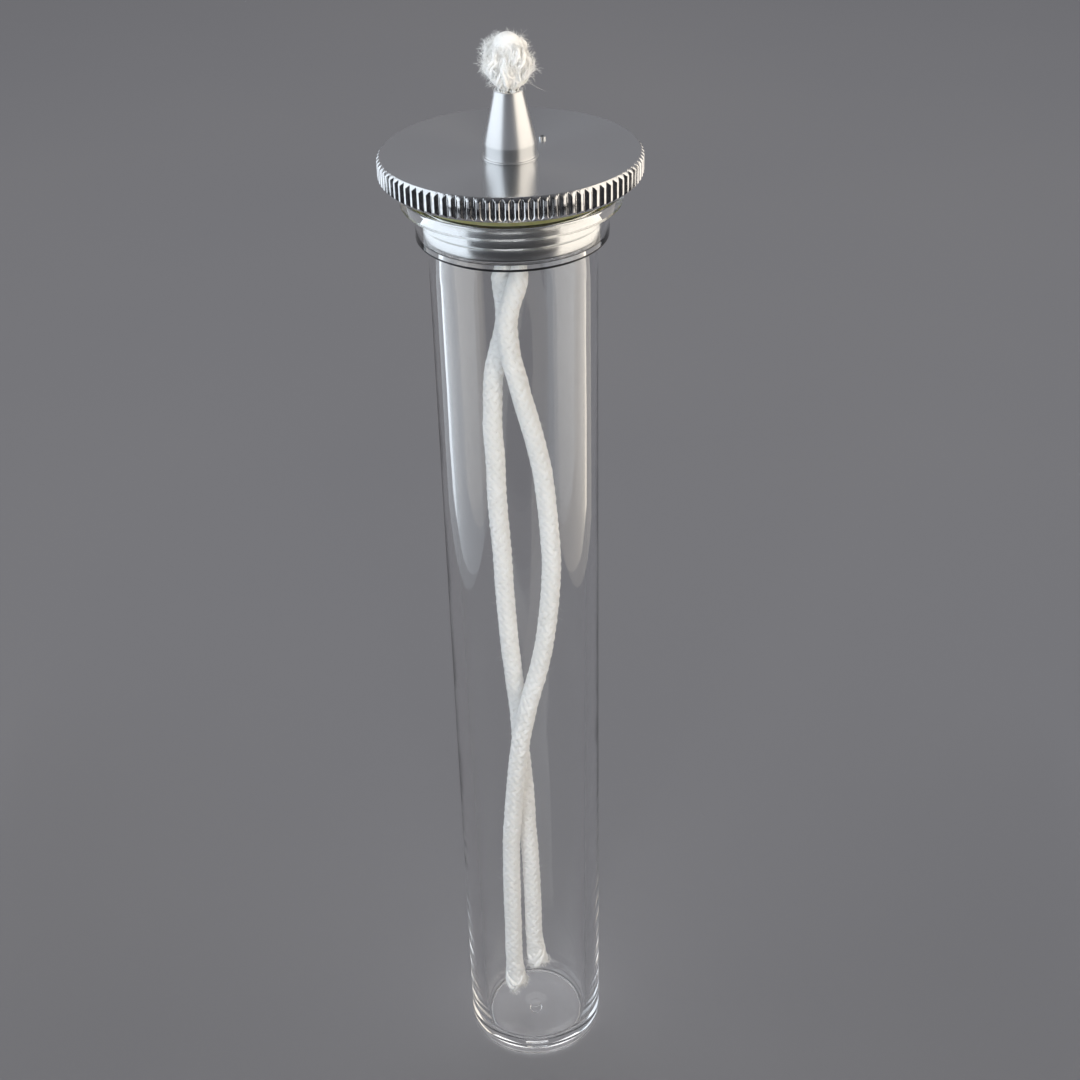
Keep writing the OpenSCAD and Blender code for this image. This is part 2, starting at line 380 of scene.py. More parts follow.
def braid(tubes, line, rng, frayed):
    """Yarns that cross over and under each other round the line. A frayed braid
    opens out and ends raggedly."""
    along, side, other, length = line_frame(line)
    end = length[-1]
    loose = smoothstep(length, end - FRAY_LENGTH, end) if frayed else np.zeros(len(line))
    tubes.add(line[:-CORE_SHORT], CORE_R + CORE_FLARE * loose[:-CORE_SHORT], 12)
    tips = []
    for way in (1, -1):
        for k in range(YARNS_EACH_WAY):
            turn = way * 2 * math.pi * length / BRAID_PITCH + 2 * math.pi * k / YARNS_EACH_WAY
            turn = turn + WANDER * smooth_noise(rng, len(line), 40)
            turn = turn + FRAY_TURN * loose * rng.uniform(-1, 1)
            wave = way * BRAID_WAVE * np.cos(2 * math.pi * YARNS_EACH_WAY * length / BRAID_PITCH)
            out = BRAID_R + wave * (1 - loose) + 0.05 * smooth_noise(rng, len(line), 50)
            out = out + loose * rng.uniform(*FRAY_OUT)
            away = np.cos(turn)[:, None] * side + np.sin(turn)[:, None] * other
            path = line + out[:, None] * away
            radius = YARN_R * (1 + YARN_UNEVEN * smooth_noise(rng, len(line), 60))
            if frayed:
                cut = end - rng.uniform(0, CUT_UNEVEN)
                radius = radius * (1 - 0.45 * smoothstep(length, cut - CUT_TAPER, cut))
                keep = max(4, int(np.searchsorted(length, cut)))
                path, radius, away = path[:keep], radius[:keep], away[:keep]
                tips.append((path[-1], path[-1] - path[-4]))
            tubes.add(path, radius, 10, 0, YARN_FLAT, away, rng.uniform(0, 50))
    return tips


def fibre(tubes, start, direction, length, curl, rng, thick=0.02, segments=4):
    """One loose cotton fibre, curling away from its start."""
    heading = np.asarray(direction, float)
    heading = heading / max(np.linalg.norm(heading), 1e-9)
    line = [np.asarray(start, float)]
    bend = rng.normal(0, curl, 3)
    for _ in range(segments):
        line.append(line[-1] + heading * length / segments)
        heading = heading + bend + rng.normal(0, curl * 0.5, 3)
        heading /= np.linalg.norm(heading)
    radii = thick * np.linspace(1, 0.4, segments + 1)
    tubes.add(line, radii, 3, 1)


def fuzz(tubes, line, count, rng):
    """Short loose fibres all along a strand."""
    along, side, other, _ = line_frame(line)
    for i in rng.integers(4, len(line) - 1, count):
        a = rng.uniform(0, 2 * math.pi)
        away = math.cos(a) * side[i] + math.sin(a) * other[i]
        lean = along[i] * rng.normal(0, 0.9) + np.cross(along[i], away) * rng.normal(0, 0.6)
        length = min(rng.exponential(0.5) + 0.35, 2.2)
        fibre(tubes, line[i] + away * STRAND_R * 0.86, away * 0.8 + lean, length, 0.25, rng, 0.016)


def ragged_ends(tubes, tips, rng):
    """Cut fibres that stand out of the yarns' ends."""
    for at, heading in tips:
        heading = heading / np.linalg.norm(heading)
        for _ in range(CUT_FIBRES):
            start = at + rng.normal(0, 0.35, 3) - heading * 0.7
            splay = heading + rng.normal(0, 0.35, 3)
            fibre(tubes, start, splay, rng.uniform(0.6, 1.6), 0.15, rng, rng.uniform(0.025, 0.05))


SQUEEZE_FROM = NECK_LOW[2] - 6.0
SQUEEZE = 0.49


def squeezed(points, inner):
    """Draws a strand into its half of the round neck above it. inner is the x of
    the strand's side that faces the other strand."""
    share = smoothstep(points[:, 2], SQUEEZE_FROM, NECK_LOW[2])
    out = points.copy()
    out[:, 0] += share * ((points[:, 0] - inner) * SQUEEZE - points[:, 0])
    out[:, 1] *= 1 - 0.05 * share
    return out


def make_strand(name, route, inner, node, seed):
    """One braided strand, from the neck down to its ragged cut end."""
    rng = np.random.default_rng(seed)
    line = smooth_line(np.array(route) / MM, RING_STEP)
    tubes = Tubes()
    tips = braid(tubes, line, rng, True)
    ragged_ends(tubes, tips, rng)
    fuzz(tubes, line, 700, rng)
    strand = tubes.build(name, "wick", lambda points: squeezed(points, inner))
    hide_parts(node)
    path = squeezed(line, inner) * MM
    return strand


LONG_INNER = LONG_ROUTE[0][0] / MM - STRAND_R
SHORT_INNER = SHORT_ROUTE[0][0] / MM + STRAND_R
strand_long = make_strand("strand_long", LONG_ROUTE, LONG_INNER, "wick_strand_long", 11)
strand_short = make_strand("strand_short", SHORT_ROUTE, SHORT_INNER, "wick_strand_short", 23)

# ---------------------------------------------------------------- wick neck and tuft


def make_neck():
    """Both strands side by side, squeezed to fill the round passage."""
    rng = np.random.default_rng(5)
    tubes = Tubes()
    heights = np.arange(NECK_LOW[2] - 0.4, NECK_HIGH[2], RING_STEP)[::-1]
    for x in (LONG_ROUTE[0][0] / MM, SHORT_ROUTE[0][0] / MM):
        line = np.stack([np.full(len(heights), x), np.zeros(len(heights)), heights], axis=1)
        braid(tubes, line, rng, False)

    def fit(points):
        inner = np.where(points[:, 0] > -0.35, LONG_INNER, SHORT_INNER)
        out = points.copy()
        out[:, 0] = (points[:, 0] - inner) * SQUEEZE
        out[:, 1] *= 0.95
        radius = np.linalg.norm(out[:, :2], axis=1)
        most = NECK_HIGH[0]
        out[:, :2] *= np.where(radius > most, most / np.maximum(radius, 1e-6), 1)[:, None]
        return out

    neck = tubes.build("neck", "wick", fit)
    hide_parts("wick_neck")
    return neck


TUFT_R = HEAD_HIGH[0]
TUFT_LOW = HEAD_LOW[2]
TUFT_TALL = HEAD_HIGH[2] - HEAD_LOW[2]
TUFT_FOOT_R = 1.9
TUFT_BALL_POWER = 2.1
# Size, waves round, waves up and start of each set of lumps
TUFT_LUMPS = ((0.09, 3, 6, 0), (0.07, 5, -9, 1), (0.035, 9, 4, 2))
TUFT_CORE = 0.68
TUFT_YARNS = 130
TUFT_FIBRES = 2200
UP_FIBRES = 420
UP_SIDE = math.radians(165)
# Angle and drop of each stray fibre
STRAYS = ((-0.5, -0.75), (-0.3, -0.4), (0.2, -0.9), (-0.1, 0.3))


def tuft_point(height, angle, share):
    """A point of the tuft: height runs from its foot at 0 to its top at 1, and
    share from its axis at 0 to its lumpy surface at 1."""
    height, angle = np.asarray(height, float), np.asarray(angle, float)
    ball = np.sqrt(np.clip(1 - np.abs(2 * height - 1) ** TUFT_BALL_POWER, 0, 1))
    foot = TUFT_FOOT_R / TUFT_R * np.clip(1 - 5 * height, 0, 1)
    lumps = 1
    for size, around, up, start in TUFT_LUMPS:
        lumps = lumps + size * np.sin(around * angle + up * height + start)
    r = TUFT_R * 0.84 * np.maximum(ball, foot) * lumps * share
    z = TUFT_LOW + TUFT_TALL * (0.46 + (height - 0.5) * (0.35 + 0.54 * np.asarray(share)))
    return np.stack(np.broadcast_arrays(r * np.cos(angle), r * np.sin(angle), z), axis=-1)


def tuft_core():
    """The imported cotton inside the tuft, as one fat tube along its axis."""
    tubes = Tubes()
    heights = np.linspace(0.02, 0.98, 30)
    axis = np.zeros(len(heights))
    line = np.stack([axis, axis, TUFT_LOW + TUFT_TALL * heights], axis=1)
    ball = np.sqrt(np.clip(1 - np.abs(2 * heights - 1) ** TUFT_BALL_POWER, 0, 1))
    tubes.add(line, np.maximum(TUFT_R * TUFT_CORE * ball, 0.2), 48)
    return tubes


def tuft_yarn(tubes, rng):
    """One teased yarn, from the foot or the side of the tuft, over its surface."""
    steps = 16
    t = np.linspace(0, 1, steps)
    low = -0.02 if rng.random() < 0.55 else rng.uniform(0.08, 0.6)
    high = low + rng.uniform(0.3, 0.75)
    heights = np.minimum(low + (high - low) * t, 1.02 - 0.1 * t)
    angles = rng.uniform(0, 2 * math.pi) + rng.uniform(-0.8, 0.8) * t
    angles = angles + 0.22 * smooth_noise(rng, steps, 3)
    share = rng.uniform(0.84, 0.97) + 0.05 * smooth_noise(rng, steps, 4)
    share = share + 0.09 * smoothstep(t, 0.75, 1)
    line = tuft_point(heights, angles, share)
    line += 0.12 * np.stack([smooth_noise(rng, steps, 6) for _ in range(3)], axis=1)
    line[:, 2] = np.maximum(line[:, 2], TUFT_LOW - 0.2)
    thick = rng.uniform(0.2, 0.5)
    radii = thick * (1 - 0.7 * smoothstep(t, 0.6, 1)) * (1 - 0.4 * smoothstep(t, 0.15, 0))
    radii = radii * (1 + 0.15 * smooth_noise(rng, steps, 6))
    tubes.add(line, radii, 8, 0, 0.8, None, rng.uniform(0, 50))
    for _ in range(7):
        splay = line[-1] - line[-3] + rng.normal(0, 0.25, 3)
        fibre(tubes, line[-2] + rng.normal(0, 0.1, 3), splay, rng.uniform(0.5, 1.5), 0.3, rng, 0.022)


def tuft_fibre(tubes, rng):
    """One thin fibre on the tuft's surface, lying with the yarns or standing off."""
    height = rng.beta(1.5, 1.15)
    angle = rng.uniform(0, 2 * math.pi)
    at = tuft_point(height, angle, rng.uniform(0.9, 1.03))
    flow = tuft_point(height + 0.04, angle + rng.normal(0, 0.05), 1.0) - tuft_point(height, angle, 1.0)
    away = np.array([math.cos(angle), math.sin(angle), 0.8 * (height - 0.4)])
    heading = flow / max(np.linalg.norm(flow), 1e-6) * rng.choice([1.0, -1.0], p=[0.7, 0.3])
    heading = heading + 0.14 * away + rng.normal(0, 0.36, 3)
    fibre(tubes, at, heading, rng.uniform(0.7, 2.3), 0.34, rng, rng.uniform(0.018, 0.045), 5)


def make_tuft():
    """Yarns teased out of the nozzle's tip into a ragged ball of cotton."""
    rng = np.random.default_rng(41)
    tubes = tuft_core()
    for _ in range(TUFT_YARNS):
        tuft_yarn(tubes, rng)
    for _ in range(TUFT_FIBRES):
        tuft_fibre(tubes, rng)
    # Longer fuzz that stands up on the left of the top
    for _ in range(UP_FIBRES):
        angle = rng.normal(UP_SIDE, 0.75)
        at = tuft_point(rng.uniform(0.7, 0.98), angle, rng.uniform(0.75, 1.0))
        heading = np.array([math.cos(angle) * 0.7, math.sin(angle) * 0.7, 1.0]) + rng.normal(0, 0.35, 3)
        fibre(tubes, at, heading, rng.uniform(0.9, 2.0), 0.3, rng, 0.017, 5)
    # A few stray fibres that hang out to the right, by the tip
    for angle, drop in STRAYS:
        at = tuft_point(0.14, angle, 0.95)
        heading = np.array([math.cos(angle), math.sin(angle), drop])
        fibre(tubes, at, heading, rng.uniform(3.0, 4.6), 0.16, rng, 0.018, 9)
    tuft = tubes.build("tuft", "wick")
    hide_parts("wick_head")
    return tuft


neck = make_neck()
tuft = make_tuft()

# ---------------------------------------------------------------- tube

TUBE_TOP_R = 15.05
TUBE_FOOT_R = 14.5
COLLAR_R = 17.1
COLLAR_H = 6.6
FLANGE_T = 2.3
LEDGE_EDGE = 0.65
SOCKET_R = 15.7
SOCKET_FLOOR_T = 1.0
BORE_R = 13.0
BORE_FLOOR_R = 11.3
FLOOR_T = 3.2
FLOOR_FILLET = 1.8
FOOT_EDGE = 1.2
FOOT_RECESS_R = 11.4
FOOT_RECESS_H = 0.8
FOOT_RECESS_SLOPE = 0.6
PIP_R = 1.25
PIP_H = 0.45
PIP_DOME = ((1.0, 0.0), (0.9, 0.25), (0.6, 0.5), (0.3, 0.6), (0.0, 0.62))


def make_tube():
    """The clear moulded tube, in one skin from the pip under it to its floor."""
    rim_z = TUBE_HIGH[2]
    flange_z = rim_z - FLANGE_T
    ledge_z = flange_z - COLLAR_H
    outside = [
        (0, FOOT_RECESS_H - PIP_H),
        (PIP_R, FOOT_RECESS_H - PIP_H),
        (PIP_R, FOOT_RECESS_H),
        (FOOT_RECESS_R, FOOT_RECESS_H),
        (FOOT_RECESS_R + FOOT_RECESS_SLOPE, 0),
    ]
    outside += arc((TUBE_FOOT_R - FOOT_EDGE, FOOT_EDGE), FOOT_EDGE, -90, 0)
    outside += [(TUBE_TOP_R, ledge_z)]
    outside += arc((COLLAR_R - LEDGE_EDGE, ledge_z + LEDGE_EDGE), LEDGE_EDGE, -90, 0)
    outside += [
        (COLLAR_R, flange_z),
        (TUBE_HIGH[0], flange_z),
        (TUBE_HIGH[0], rim_z),
    ]
    socket_z = ledge_z + SOCKET_FLOOR_T
    inside = [(SOCKET_R, rim_z), (SOCKET_R, socket_z), (BORE_R, socket_z)]
    inside += arc((BORE_FLOOR_R - FLOOR_FILLET, FLOOR_T + FLOOR_FILLET), FLOOR_FILLET, 0, -90)
    inside += [(PIP_R * share, FLOOR_T + rise) for share, rise in PIP_DOME]
    profile = filled(softened(outside + inside, 0.28), 6.0)
    tube = spun("clear_tube", profile, 240, "tube_body", False, 50)
    sort_tube_faces(tube.data, ledge_z)
    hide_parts("tube")
    return tube


def sort_tube_faces(mesh, ledge_z):
    """Material 0 for the clear plastic and 1 for the painted shade on the collar's underside."""
    for face in mesh.polygons:
        x, y, z = face.center
        at_ledge = abs(z - ledge_z * MM) < LEDGE_EDGE * MM
        # The ledge's outer faces take the painted shade ring
        if at_ledge and math.hypot(x, y) > (TUBE_TOP_R + 0.1) * MM:
            face.material_index = 1


tube = make_tube()

# ---------------------------------------------------------------- gasket

PLUG_R = 15.6
GASKET_GAP = 0.3


def make_gasket():
    """The flat sealing ring, with edges that bulge a little under the cap."""
    low, high = GASKET_LOW[2], GASKET_HIGH[2]
    middle = (low + high) / 2
    outer, inner = GASKET_HIGH[0], PLUG_R + GASKET_GAP
    profile = [
        (inner, low), (outer - 0.25, low), (outer - 0.05, (low + middle) / 2), (outer, middle),
        (outer - 0.05, (high + middle) / 2), (outer - 0.25, high), (inner, high),
    ]
    gasket = spun("sealing_ring", softened(profile, 0.3, 4, True), 160, "seal_ring", True, 60)
    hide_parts("gasket")
    return gasket


gasket = make_gasket()

# ---------------------------------------------------------------- cap

FLUTES = 90
FLUTE_DEPTH = 0.6
CREST_SHARE = 0.16
RIM_CHAMFER = 0.7
RIM_LAND = 0.5
DISH_DEPTH = 1.1
RECESS_R = 12.0
RECESS_H = 5.1
LINE_ABOVE_END = 2.6
LINE_W = 0.35
LINE_DEPTH = 0.25
LEAD_IN = 0.2
PLUG_CHAMFER = 0.4
SHANK_R = 3.0
SHANK_GAP = 0.05
SEAT_R = 5.45
VENT_X, VENT_Y = 5.7, 7.4
VENT_R = 0.35
VENT_LIP_R = 0.65
VENT_LIP_H = 0.45
EDGE_BREAK = 0.05


def flute_radius(angle):
    """Radius of the knurled rim at an angle: flat crests with V flutes between."""
    place = (angle * FLUTES / (2 * math.pi)) % 1
    from_crest = min(place, 1 - place)
    depth = max(0.0, (from_crest - CREST_SHARE) / (0.5 - CREST_SHARE))
    return CAP_HIGH[0] - FLUTE_DEPTH * depth


def cap_profile():
    """What gives the cap's turned profile at an angle."""
    top, low = CAP_HIGH[2], CAP_LOW[2]
    rim_low = GASKET_HIGH[2]
    edge_r = CAP_HIGH[0] - RIM_CHAMFER
    line_z = low + LINE_ABOVE_END
    seat_z = top - DISH_DEPTH
    plug = [
        (SHANK_R + SHANK_GAP, low + RECESS_H),
        (RECESS_R, low + RECESS_H),
        (RECESS_R, low),
        (PLUG_R - LEAD_IN - PLUG_CHAMFER, low),
        (PLUG_R - LEAD_IN, low + PLUG_CHAMFER),
        (PLUG_R, line_z - LINE_W / 2),
        (PLUG_R - LINE_DEPTH, line_z),
        (PLUG_R, line_z + LINE_W / 2),
        (PLUG_R, rim_low),
        (edge_r - 1.0, rim_low),
    ]
    plug = filled(softened(plug, 0.12, 2), 1.5)
    dish = [(edge_r - RIM_LAND, top), (SEAT_R, seat_z), (SHANK_R + SHANK_GAP, seat_z)]
    dish = filled(dish, 0.9)

    def at(angle):
        r = flute_radius(angle)
        slope = r - edge_r
        rim = [
            (edge_r, rim_low),
            (r - EDGE_BREAK, rim_low + slope - EDGE_BREAK),
            (r, rim_low + slope + EDGE_BREAK),
            (r, (rim_low + top) / 2),
            (r, top - slope - EDGE_BREAK),
            (r - EDGE_BREAK, top - slope + EDGE_BREAK),
            (edge_r + 0.03, top - 0.03),
            (edge_r - 0.05, top),
        ]
        return plug + rim + dish

    return at


def rod(radius, low, high, x, y, sides=32):
    """A round tool for a boolean cut or join."""
    a = np.linspace(0, 2 * math.pi, sides, endpoint=False)
    ring = np.stack([x + radius * np.cos(a), y + radius * np.sin(a)], axis=1)
    points = [(px, py, z) for z in (low, high) for px, py in ring]
    faces = [(k, (k + 1) % sides, sides + (k + 1) % sides, sides + k) for k in range(sides)]
    faces.append(tuple(range(sides))[::-1])
    faces.append(tuple(range(sides, 2 * sides)))
    return plain_object("tool", (np.array(points) * MM).tolist(), faces)


def combined(piece, tool, operation):
    """Applies one boolean to the piece's mesh and drops the tool."""
    modifier = piece.modifiers.new("combine", "BOOLEAN")
    modifier.operation = operation
    modifier.object = tool
    modifier.solver = "EXACT"
    mesh = bpy.data.meshes.new_from_object(piece.evaluated_get(bpy.context.evaluated_depsgraph_get()))
    piece.modifiers.clear()
    old, piece.data = piece.data, mesh
    name = old.name
    bpy.data.meshes.remove(old)
    mesh.name = name
    bpy.data.objects.remove(tool)


def make_cap():
    """The knurled disc and plug, with the vent through its small raised lip."""
    # Crest edge, flank, root and back, so that every flute has its true corners
    stops = (0.0, CREST_SHARE - 0.025, CREST_SHARE + 0.025, 0.33, 0.475, 0.525, 0.67)
    stops += (1 - CREST_SHARE - 0.025, 1 - CREST_SHARE + 0.025)
    angles = [2 * math.pi * (i + s) / FLUTES for i in range(FLUTES) for s in stops]
    cap = spun_at("knurled_cap", cap_profile(), angles, "cap_assembly")
    away = math.hypot(VENT_X, VENT_Y)
    edge_r = CAP_HIGH[0] - RIM_CHAMFER - RIM_LAND
    face_z = CAP_HIGH[2] - DISH_DEPTH * (1 - (away - SEAT_R) / (edge_r - SEAT_R))
    combined(cap, rod(VENT_LIP_R, face_z - 0.6, face_z + VENT_LIP_H, VENT_X, VENT_Y), "UNION")
    combined(cap, rod(VENT_R, CAP_LOW[2] + 2, face_z + 2, VENT_X, VENT_Y), "DIFFERENCE")
    cap.data.shade_smooth()
    cap.data.set_sharp_from_angle(angle=math.radians(RING_SHARP_DEG))
    sort_cap_faces(cap.data)
    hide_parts("cap")
    return cap


def sort_cap_faces(mesh):
    """Material 0 for the plug, 1 for the knurl and 2 for the top face."""
    rim_z = (GASKET_HIGH[2] + 0.02) * MM
    edge_r = (CAP_HIGH[0] - RIM_CHAMFER - 0.1) * MM
    for face in mesh.polygons:
        x, y, z = face.center
        if z > rim_z:
            face.material_index = 1 if math.hypot(x, y) > edge_r else 2


cap = make_cap()

# ---------------------------------------------------------------- nozzle and nut

WICK_BORE_R = 2.0
TIP_R = 2.5
FOOT_R = 4.55
FOOT_H = 2.6
LIP_R = 4.85
LIP_H = 0.4
SHANK_CHAMFER = 0.4
BORE_FLARE = 0.4
NUT_AF = 10.0
NUT_BEVEL = 0.3
NUT_CHAMFER = 0.25
NUT_FACE_EDGE = 0.35


def make_nozzle():
    """The turned nozzle: shank, lipped foot and cone round the wick's passage."""
    seat_z = CAP_HIGH[2] - DISH_DEPTH
    low, tip = NOZZLE_LOW[2], NOZZLE_HIGH[2]
    profile = [
        (WICK_BORE_R + BORE_FLARE, low),
        (SHANK_R - SHANK_CHAMFER, low),
        (SHANK_R, low + SHANK_CHAMFER),
        (SHANK_R, seat_z),
        (LIP_R, seat_z),
        (LIP_R, seat_z + LIP_H * 0.6),
        (FOOT_R, seat_z + LIP_H),
        (FOOT_R, seat_z + FOOT_H),
        (TIP_R, tip),
        (WICK_BORE_R, tip),
        (WICK_BORE_R, low + BORE_FLARE),
    ]
    profile = softened(profile, 0.16, 4, True)
    profile = filled(profile + profile[:1], 1.2)[:-1]
    nozzle = spun("wick_nozzle", profile, 160, "cap_assembly", True, 50)
    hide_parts("nozzle")
    return nozzle


def make_nut():
    """The thin hexagon nut, with its corners bevelled on the face that shows."""
    low, high = NUT_LOW[2], NUT_HIGH[2]
    flat = NUT_AF / 2
    bore = SHANK_R + SHANK_GAP
    side = math.pi / 3

    def outline(angle):
        from_flat = (angle + side / 2) % side - side / 2
        r = flat / math.cos(from_flat)
        rise = NUT_BEVEL + 0.55 * (r - flat)
        inner = [(bore, high), (bore, low + NUT_CHAMFER), (bore + NUT_CHAMFER, low)]
        return inner + [(flat - NUT_FACE_EDGE, low), (r, low + rise), (r, high)]

    columns = 96
    angles = [2 * math.pi * (k + 0.5) / columns for k in range(columns)]
    nut = spun_at("hex_nut", outline, angles, "cap_assembly")
    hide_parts("nozzle_nut")
    return nut


nozzle = make_nozzle()
nut = make_nut()

# ---------------------------------------------------------------- materials


class Look:
    """A node material with short ways to add and join its nodes."""

    def __init__(self, name):
        self.material = bpy.data.materials.new(name)
        self.material.use_nodes = True
        self.tree = self.material.node_tree
        self.shader = self.tree.nodes["Principled BSDF"]
        self.output = self.tree.nodes["Material Output"]

    def add(self, kind, **values):
        """A new node. Names that are settings are set, and the rest are inputs."""
        node = self.tree.nodes.new(kind)
        for key, value in values.items():
            if hasattr(node, key):
                setattr(node, key, value)
            else:
                node.inputs[key.replace("_", " ")].default_value = value
        return node

    def join(self, source, target):
        self.tree.links.new(source, target)

    def set(self, **values):
        for key, value in values.items():
            self.shader.inputs[key.replace("_", " ")].default_value = value

    def feed(self, key, source):
        """Joins a node's output to one of the shader's inputs."""
        self.join(source, self.shader.inputs[key])

    def maths(self, operation, a, b):
        node = self.add("ShaderNodeMath", operation=operation)
        for socket, value in zip(node.inputs, (a, b)):
            if isinstance(value, (int, float)):
                socket.default_value = value
            else:
                self.join(value, socket)
        return node.outputs[0]

    def spread(self, value, low, high, start=0.0, end=1.0):
        """The value taken from start..end to low..high."""
        node = self.add("ShaderNodeMapRange")
        self.join(value, node.inputs["Value"])
        for key, number in (("From Min", start), ("From Max", end), ("To Min", low), ("To Max", high)):
            node.inputs[key].default_value = number
        return node.outputs["Result"]

    def noise(self, vector, scale, detail=2.0, roughness=0.5):
        node = self.add("ShaderNodeTexNoise", Scale=scale, Detail=detail, Roughness=roughness)
        if vector is not None:
            self.join(vector, node.inputs["Vector"])
        return node.outputs["Fac"]

    def colours(self, value, *stops):
        """Colours along the value, each stop given as (place, (r, g, b))."""
        node = self.add("ShaderNodeValToRGB")
        ramp = node.color_ramp
        ramp.elements[0].position, ramp.elements[1].position = stops[0][0], stops[-1][0]
        for place, _ in stops[1:-1]:
            ramp.elements.new(place)
        for element, (_, colour) in zip(ramp.elements, stops):
            element.color = (*colour, 1)
        self.join(value, node.inputs["Fac"])
        return node.outputs["Color"]

    def bump(self, height, strength, distance, under=None):
        node = self.add("ShaderNodeBump", Strength=strength, Distance=distance)
        self.join(height, node.inputs["Height"])
        if under is not None:
            self.join(under, node.inputs["Normal"])
        return node.outputs["Normal"]

    def place(self):
        return self.add("ShaderNodeTexCoord").outputs["Object"]

    def on(self, *pieces):
        for piece in pieces:
            piece.data.materials.append(self.material)
        return self


def turned_vector(look, scale, drift):
    """Coordinates that run across a lathe's tool marks: distance from the axis and
    height, scaled, with a slow drift round the turn."""
    apart = look.add("ShaderNodeSeparateXYZ")
    look.join(look.place(), apart.inputs[0])
    x, y, z = apart.outputs
    square = look.maths("ADD", look.maths("MULTIPLY", x, x), look.maths("MULTIPLY", y, y))
    radius = look.maths("SQRT", square, 0.0)
    turn = look.maths("ARCTAN2", y, x)
    joined = look.add("ShaderNodeCombineXYZ")
    look.join(look.maths("MULTIPLY", radius, scale), joined.inputs[0])
    look.join(look.maths("MULTIPLY", z, scale), joined.inputs[1])
    look.join(look.maths("MULTIPLY", look.maths("ABSOLUTE", turn, 0.0), drift), joined.inputs[2])
    return joined.outputs[0]


def turned_metal(name, colour, rough, anisotropy, marks, mark_scale=5000):
    """Lathe-turned aluminium: tool marks round the axis, faint handling marks."""
    look = Look(name)
    look.set(Metallic=1.0, Anisotropic=anisotropy, Anisotropic_Rotation=0.25)
    fine = look.noise(turned_vector(look, mark_scale, 0.02), 1.0, 2.0, 0.5)
    smear = look.noise(look.place(), 45.0, 1.0)
    tone = look.maths("ADD", look.maths("MULTIPLY", fine, 0.4), look.maths("MULTIPLY", smear, 0.6))
    dark = tuple(c * 0.96 for c in colour)
    look.feed("Base Color", look.colours(tone, (0.1, dark), (0.9, colour)))
    look.feed("Roughness", look.spread(smear, rough * 0.88, rough * 1.12))
    tangent = look.add("ShaderNodeTangent", direction_type="RADIAL", axis="Z")
    look.feed("Tangent", tangent.outputs[0])
    if marks:
        look.feed("Normal", look.bump(fine, marks, 0.00002))
    return look


def knurled_metal():
    """The cut flutes of the rim: bright, with faint chatter along each flank."""
    look = Look("knurled_aluminium")
    look.set(Metallic=1.0)
    wear = look.noise(look.place(), 900.0, 3.0)
    colours = look.colours(wear, (0.3, (0.70, 0.70, 0.71)), (0.6, (0.85, 0.85, 0.86)))
    look.feed("Base Color", colours)
    look.feed("Roughness", look.spread(wear, 0.12, 0.27))
    look.feed("Normal", look.bump(wear, 0.1, 0.00003))
    return look


def clear_plastic():
    """Clear moulded plastic with faint smudges and flow ripples. Lamps shine
    through it on to the wick."""
    look = Look("clear_plastic")
    look.set(Base_Color=(1, 1, 1, 1), IOR=1.5, Transmission_Weight=1.0)
    smudge = look.noise(look.place(), 55.0, 4.0, 0.6)
    look.feed("Roughness", look.spread(smudge, 0.0, 0.05, 0.45, 0.75))
    ripple = look.noise(look.place(), 60.0, 1.0)
    look.feed("Normal", look.bump(ripple, 0.12, 0.0004))
    path = look.add("ShaderNodeLightPath")
    clear = look.add("ShaderNodeBsdfTransparent", Color=(0.95, 0.95, 0.95, 1))
    mix = look.add("ShaderNodeMixShader")
    look.join(path.outputs["Is Shadow Ray"], mix.inputs[0])
    look.join(look.shader.outputs[0], mix.inputs[1])
    look.join(clear.outputs[0], mix.inputs[2])
    look.join(mix.outputs[0], look.output.inputs["Surface"])
    return look


def painted_shade_ring():
    """Painted shade: the thin black ring that shows through the collar at its lower edge, painted on
    the ledge in place of the dark ring that the clear plastic's optics make there.
    """
    look = Look("painted_shade_ring")
    grain = look.noise(look.place(), 700.0, 2.0)
    # Near-black painted shade, not the plastic's own colour
    colours = look.colours(grain, (0.3, (0.006, 0.006, 0.008)), (0.7, (0.014, 0.014, 0.018)))
    look.feed("Base Color", colours)
    look.feed("Roughness", look.spread(grain, 0.3, 0.5))
    return look


def olive_rubber():
    """Olive rubber: mottled, slightly greasy, with fine moulding grain."""
    look = Look("olive_rubber")
    look.set(Specular_IOR_Level=0.45, Subsurface_Weight=0.12, Subsurface_Scale=0.001)
    mottle = look.noise(look.place(), 420.0, 4.0, 0.6)
    colours = look.colours(mottle, (0.3, (0.66, 0.66, 0.26)), (0.7, (0.84, 0.84, 0.44)))
    look.feed("Base Color", colours)
    look.feed("Roughness", look.spread(mottle, 0.38, 0.6))
    grain = look.noise(look.place(), 5200.0, 2.0)
    look.feed("Normal", look.bump(grain, 0.35, 0.00005))
    return look


